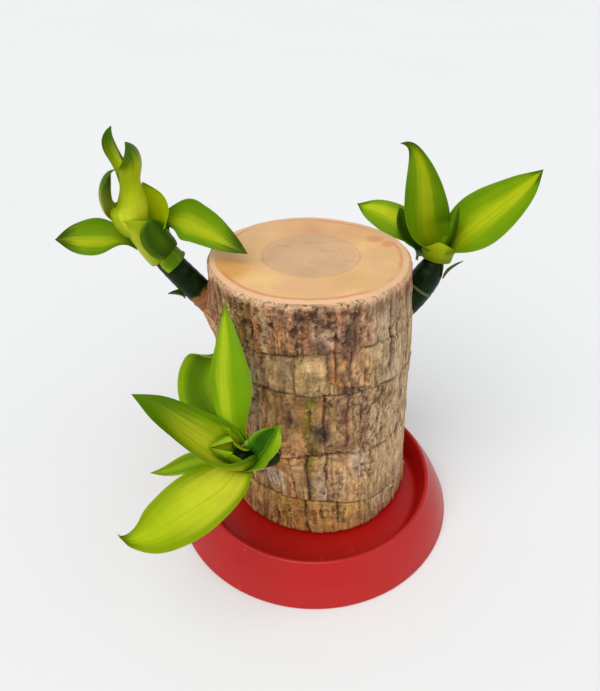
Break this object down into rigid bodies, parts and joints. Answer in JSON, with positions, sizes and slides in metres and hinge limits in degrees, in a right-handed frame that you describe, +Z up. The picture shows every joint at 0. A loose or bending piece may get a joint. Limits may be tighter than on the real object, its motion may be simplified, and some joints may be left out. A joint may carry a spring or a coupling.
{
  "type": "brazilian wood plant in bowl",
  "caption": "Sawn upright length of rough-barked trunk with leafy green shoots growing from its sides, standing in a shallow round flared plastic bowl.",
  "frame": {"origin": "centre of the whole plant's bounding box on the ground: the middle of its width and depth, at the height of the bowl's foot", "axes": "+Z up along the log, -Y the front, +X to the right of someone looking at the front"},
  "size_m": [0.1982, 0.1582, 0.1918],
  "materials": {
    "bowl": "smooth red plastic with a soft gloss",
    "log": "rough dry bark, with a smooth sawn top",
    "stem": "dark green, slightly waxy",
    "leaf": "waxy lime green leaf with paler stripes"
  },
  "bodies": {
    "root": {"bowl": "bowl", "log": "log", "stem_a": "stem", "stem_b": "stem", "stem_c": "stem", "leaf_a_left": "leaf", "leaf_a_right": "leaf", "leaf_a_sheath": "leaf", "leaf_a_spear": "leaf", "leaf_a_funnel": "leaf", "leaf_a_back": "leaf", "leaf_a_front": "leaf", "leaf_a_lip": "leaf", "leaf_a_scale": "leaf", "leaf_b_tall": "leaf", "leaf_b_right": "leaf", "leaf_b_left": "leaf", "leaf_b_back": "leaf", "leaf_b_front": "leaf", "leaf_b_curl": "leaf", "leaf_b_scale": "leaf", "leaf_c_tall": "leaf", "leaf_c_back": "leaf", "leaf_c_left": "leaf", "leaf_c_front": "leaf", "leaf_c_right": "leaf", "leaf_c_low": "leaf", "leaf_c_heart": "leaf"}
  },
  "joints": []
}
